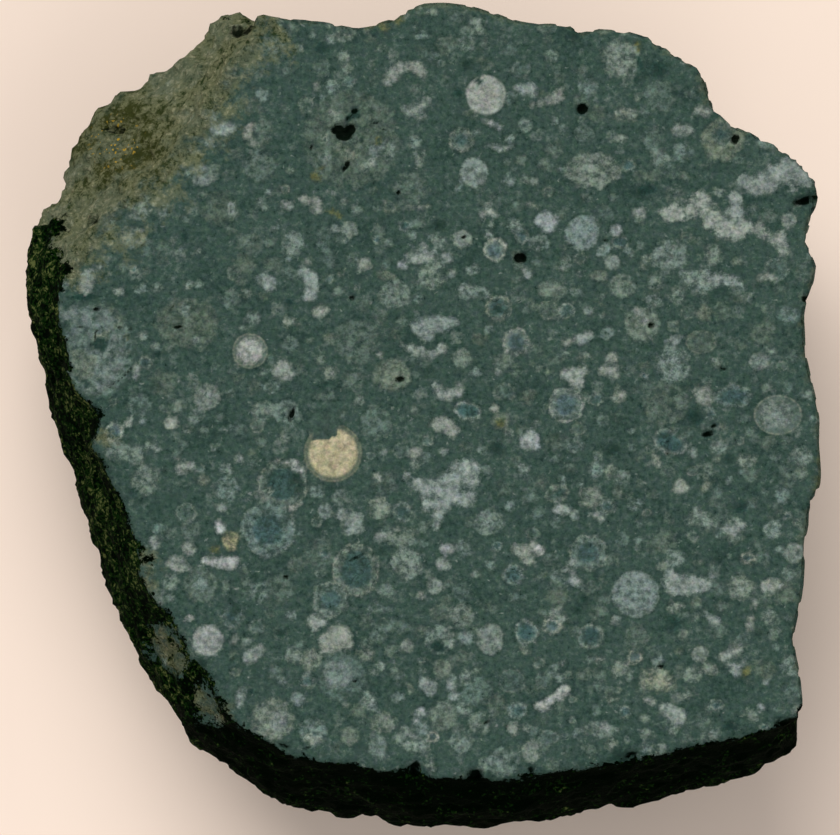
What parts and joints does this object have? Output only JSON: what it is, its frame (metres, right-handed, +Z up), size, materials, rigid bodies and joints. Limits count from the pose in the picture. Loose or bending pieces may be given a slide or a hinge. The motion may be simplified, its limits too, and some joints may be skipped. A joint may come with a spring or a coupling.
{
  "type": "sawn chondrite meteorite",
  "caption": "Stony meteorite end piece: a flat sawn face over a crusted, rounded underside with thumbprints, one weathered facet and steep broken sides.",
  "frame": {"origin": "centre of the flat spot that the stone rests on", "axes": "+Z up, out of the sawn face; +Y towards the broken upper side and +X towards the broken right side, seen from above the sawn face"},
  "size_m": [0.0398, 0.0413, 0.015],
  "materials": {
    "stone": "dark blue-grey stone packed with round grey grains and ragged white ones, sawn and matt on top, with a rough blackish crust below"
  },
  "bodies": {
    "root": {"meteorite": "stone"}
  },
  "joints": []
}
